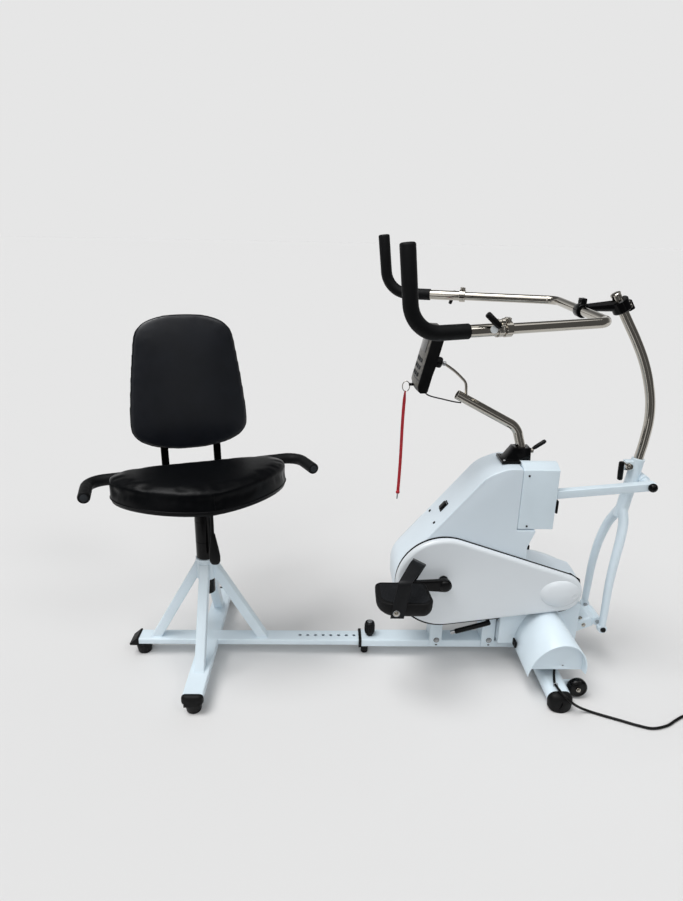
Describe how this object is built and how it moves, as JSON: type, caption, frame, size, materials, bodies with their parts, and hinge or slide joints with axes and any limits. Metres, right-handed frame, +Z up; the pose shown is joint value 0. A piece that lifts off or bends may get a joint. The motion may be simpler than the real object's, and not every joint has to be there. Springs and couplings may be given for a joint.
{
  "type": "motorized therapy bike",
  "caption": "Motor-driven pedal and arm trainer on a floor rail with a padded swivel seat, rocking handlebar mast, console and mains cord.",
  "frame": {"origin": "on the floor under the middle of the object's box, measured without the mains cord", "axes": "+X along the floor rail from the seat to the arm trainer, +Z up, -Y the side with the motor hood"},
  "size_m": [2.0384, 0.7687, 1.3162],
  "materials": {
    "white_paint": "cool white powder coat",
    "white_plastic": "satin white moulding",
    "black_plastic": "matte black",
    "black_steel": "black paint",
    "rubber": "matte black rubber",
    "foam": "closed-cell foam sleeve",
    "leatherette": "blue-black leatherette",
    "chrome": "polished chrome plate",
    "steel": "bare steel",
    "red_webbing": "red webbing"
  },
  "bodies": {
    "base": {"main_rail": "white_paint", "rail_collar": "rubber", "drive_chassis": "white_paint", "stabilizer_beam": "white_paint", "stabilizer_cap_near": "rubber", "stabilizer_cap_far": "rubber", "motor_hood": "white_paint", "lower_housing": "white_paint", "tower_shell": "white_plastic", "side_cover_near": "white_plastic", "side_cover_far": "white_plastic", "control_box": "white_paint", "support_bar": "white_paint", "console_base": "black_steel", "motor": "steel", "drive_belt": "rubber", "mains_cord": "rubber", "cord_coil": "rubber", "mains_plug": "black_plastic", "cord_gland": "rubber"},
    "crank": {"crank_axle": "steel", "crank_arm_near": "black_steel", "crank_arm_far": "black_steel"},
    "pedal_near": {"pedal_near": "rubber", "pedal_strap_near": "black_plastic"},
    "pedal_far": {"pedal_far": "rubber", "pedal_strap_far": "black_plastic"},
    "motor_rotor": {"motor_pulley": "steel"},
    "wheel_near": {"transport_wheel_near": "rubber"},
    "wheel_far": {"transport_wheel_far": "rubber"},
    "rail_knob": {"rail_knob": "black_plastic"},
    "base_lever": {"base_lever": "black_plastic"},
    "power_switch": {"power_switch": "black_plastic"},
    "seat_carriage": {"seat_base_frame": "white_paint", "seat_trestle": "white_paint", "rail_end_foot": "rubber", "beam_foot_near": "rubber", "beam_foot_far": "rubber", "gas_cylinder": "black_steel"},
    "seat_column": {"seat_post": "black_steel"},
    "seat": {"seat_frame": "black_steel", "seat_cushion": "leatherette", "backrest": "leatherette", "seat_handle_bar": "foam"},
    "seat_lever": {"seat_lever": "black_plastic"},
    "arm": {"arm_fork": "white_paint"},
    "yoke": {"drive_yoke": "white_paint"},
    "mast": {"mast": "chrome", "handlebar_stem": "black_steel"},
    "mast_lever": {"mast_lever": "black_plastic"},
    "u_bar": {"u_bar": "chrome"},
    "handle_near": {"handle_near": "foam"},
    "handle_far": {"handle_far": "foam"},
    "handle_lever_near": {"handle_lever_near": "black_plastic"},
    "handle_lever_far": {"handle_lever_far": "black_plastic"},
    "console_arm": {"console_tube": "chrome"},
    "console": {"console_head": "black_plastic", "console_cable": "rubber"},
    "console_lever": {"console_lever": "black_plastic"},
    "lanyard": {"safety_lanyard": "red_webbing"}
  },
  "joints": [
    {"name": "seat_slide", "type": "slide", "parent": "base", "child": "seat_carriage", "axis": [1, 0, 0], "range_m": [-0.127, 0.178]},
    {"name": "column_lift", "type": "slide", "parent": "seat_carriage", "child": "seat_column", "axis": [0, 0, 1], "range_m": [0, 0.09]},
    {"name": "seat_swivel", "type": "hinge", "parent": "seat_column", "child": "seat", "pos_m": [-0.5, 0, 0.545], "axis": [0, 0, 1], "continuous": true},
    {"name": "seat_lever_pull", "type": "hinge", "parent": "seat", "child": "seat_lever", "pos_m": [-0.4655, -0.046, 0.55], "axis": [-1, 0, 0], "range_deg": [0, 20]},
    {"name": "crank_turn", "type": "hinge", "parent": "base", "child": "crank", "pos_m": [0.2315, 0, 0.332], "axis": [0, 1, 0], "continuous": true},
    {"name": "pedal_near_turn", "type": "hinge", "parent": "crank", "child": "pedal_near", "pos_m": [0.1115, -0.2165, 0.332], "axis": [0, 1, 0], "continuous": true},
    {"name": "pedal_far_turn", "type": "hinge", "parent": "crank", "child": "pedal_far", "pos_m": [0.3515, 0.2165, 0.332], "axis": [0, 1, 0], "continuous": true},
    {"name": "motor_turn", "type": "hinge", "parent": "base", "child": "motor_rotor", "pos_m": [0.572, 0, 0.145], "axis": [0, 1, 0], "continuous": true},
    {"name": "wheel_near_turn", "type": "hinge", "parent": "base", "child": "wheel_near", "pos_m": [0.638, -0.216, 0.0335], "axis": [0, 1, 0], "continuous": true},
    {"name": "wheel_far_turn", "type": "hinge", "parent": "base", "child": "wheel_far", "pos_m": [0.638, 0.216, 0.0335], "axis": [0, 1, 0], "continuous": true},
    {"name": "rail_knob_pull", "type": "slide", "parent": "base", "child": "rail_knob", "axis": [0, 0, 1], "range_m": [0, 0.008], "stiffness_N_per_m": 600, "springref_m": -0.003},
    {"name": "base_lever_turn", "type": "hinge", "parent": "base", "child": "base_lever", "pos_m": [0.396, -0.045, 0.1525], "axis": [0, 1, 0], "range_deg": [-20, 0]},
    {"name": "power_switch_rock", "type": "hinge", "parent": "base", "child": "power_switch", "pos_m": [0.23364, 0, 0.53133], "axis": [0, 1, 0], "range_deg": [0, 6]},
    {"name": "arm_rock", "type": "hinge", "parent": "base", "child": "arm", "pos_m": [0.8325, 0, 0.626], "axis": [0, 1, 0], "range_deg": [-4, 4]},
    {"name": "yoke_turn", "type": "hinge", "parent": "arm", "child": "yoke", "pos_m": [0.7555, 0, 0.144], "axis": [0, 1, 0], "range_deg": [-4, 4]},
    {"name": "mast_height", "type": "slide", "parent": "arm", "child": "mast", "axis": [0.1391, 0, 0.9903], "range_m": [0, 0.06]},
    {"name": "mast_lever_turn", "type": "hinge", "parent": "arm", "child": "mast_lever", "pos_m": [0.78, -0.018, 0.671], "axis": [0, 1, 0], "range_deg": [0, 40]},
    {"name": "u_bar_tilt", "type": "hinge", "parent": "mast", "child": "u_bar", "pos_m": [0.5775, 0, 1.124], "axis": [0, 0.9992, 0.0401], "range_deg": [-15, 45]},
    {"name": "handle_near_reach", "type": "slide", "parent": "u_bar", "child": "handle_near", "axis": [-0.951, -0.3083, -0.0248], "range_m": [-0.05, 0.06]},
    {"name": "handle_far_reach", "type": "slide", "parent": "u_bar", "child": "handle_far", "axis": [-0.951, 0.3093, 0.0001], "range_m": [-0.05, 0.06]},
    {"name": "handle_lever_near_turn", "type": "hinge", "parent": "handle_near", "child": "handle_lever_near", "pos_m": [0.276, -0.31502, 1.11343], "axis": [0, 0.9992, 0.0401], "range_deg": [0, 45]},
    {"name": "handle_lever_far_turn", "type": "hinge", "parent": "handle_far", "child": "handle_lever_far", "pos_m": [0.284, 0.32484, 1.13923], "axis": [0, -0.9992, -0.0401], "range_deg": [0, 40]},
    {"name": "console_swivel", "type": "hinge", "parent": "base", "child": "console_arm", "pos_m": [0.452, 0, 0.726], "axis": [-0.292, 0, 0.9564], "range_deg": [-40, 40]},
    {"name": "console_tilt", "type": "hinge", "parent": "console_arm", "child": "console", "pos_m": [0.19, 0, 0.9745], "axis": [0, 1, 0], "range_deg": [0, 12]},
    {"name": "console_lever_turn", "type": "hinge", "parent": "base", "child": "console_lever", "pos_m": [0.486, 0, 0.712], "axis": [1, 0, 0], "range_deg": [0, 60]},
    {"name": "key_pull", "type": "slide", "parent": "console", "child": "lanyard", "axis": [-1, 0, 0], "range_m": [0, 0.03]}
  ],
  "couplings": [
    {"joint": "yoke_turn", "follows": "arm_rock", "ratio": -1},
    {"joint": "motor_turn", "follows": "crank_turn", "ratio": 5.25}
  ]
}
